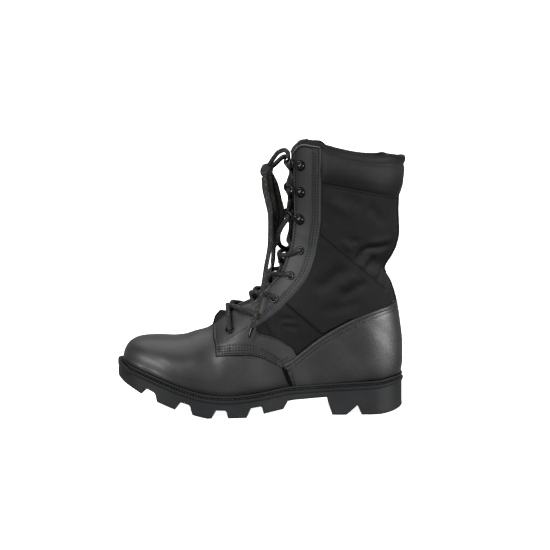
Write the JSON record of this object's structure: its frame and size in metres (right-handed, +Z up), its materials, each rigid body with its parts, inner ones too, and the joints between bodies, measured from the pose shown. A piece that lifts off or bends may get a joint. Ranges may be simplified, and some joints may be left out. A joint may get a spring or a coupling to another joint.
{
  "type": "tactical boot",
  "caption": "Black lace-up tactical boot for the left foot: lug sole, leather foot and eyestays, cloth shaft with ankle panels, padded cuff.",
  "frame": {"origin": "On the floor, under the middle of the boot's box in length and width.", "axes": "+Z up, the toe towards -X and the heel towards +X, the lateral (outer) side towards -Y."},
  "size_m": [0.304, 0.1062, 0.288],
  "materials": {
    "sole_rubber": "matte moulded rubber",
    "leather": "semi-gloss full-grain leather",
    "shaft_cloth": "tight nylon weave",
    "cuff_cloth": "fine ribbed padded cloth",
    "lining": "brushed cloth",
    "black_metal": "gloss black enamel",
    "lace_cord": "round braided cord"
  },
  "bodies": {
    "root": {"ankle_panel_lateral": "shaft_cloth", "ankle_panel_medial": "shaft_cloth", "backstay": "shaft_cloth", "counter": "leather", "cuff": "cuff_cloth", "eyelet_lateral_1": "black_metal", "eyelet_lateral_2": "black_metal", "eyelet_lateral_3": "black_metal", "eyelet_lateral_4": "black_metal", "eyelet_lateral_5": "black_metal", "eyelet_medial_1": "black_metal", "eyelet_medial_2": "black_metal", "eyelet_medial_3": "black_metal", "eyelet_medial_4": "black_metal", "eyelet_medial_5": "black_metal", "eyestay_lateral": "leather", "eyestay_medial": "leather", "facing_lateral": "leather", "facing_medial": "leather", "hook_lateral_1": "black_metal", "hook_lateral_2": "black_metal", "hook_lateral_3": "black_metal", "hook_medial_1": "black_metal", "hook_medial_2": "black_metal", "hook_medial_3": "black_metal", "insole": "lining", "lace_bar": "lace_cord", "lace_cross_1": "lace_cord", "lace_cross_2": "lace_cord", "lace_cross_3": "lace_cord", "lace_cross_4": "lace_cord", "lace_cross_5": "lace_cord", "lace_cross_6": "lace_cord", "lace_cross_7": "lace_cord", "lace_end_long": "lace_cord", "lace_end_short": "lace_cord", "lace_knot": "lace_cord", "lace_loop_lateral": "lace_cord", "lace_loop_medial": "lace_cord", "lace_rise_lateral": "lace_cord", "lace_rise_medial": "lace_cord", "outsole": "sole_rubber", "tongue": "lining", "upper": "shaft_cloth", "welt": "sole_rubber"}
  },
  "joints": []
}
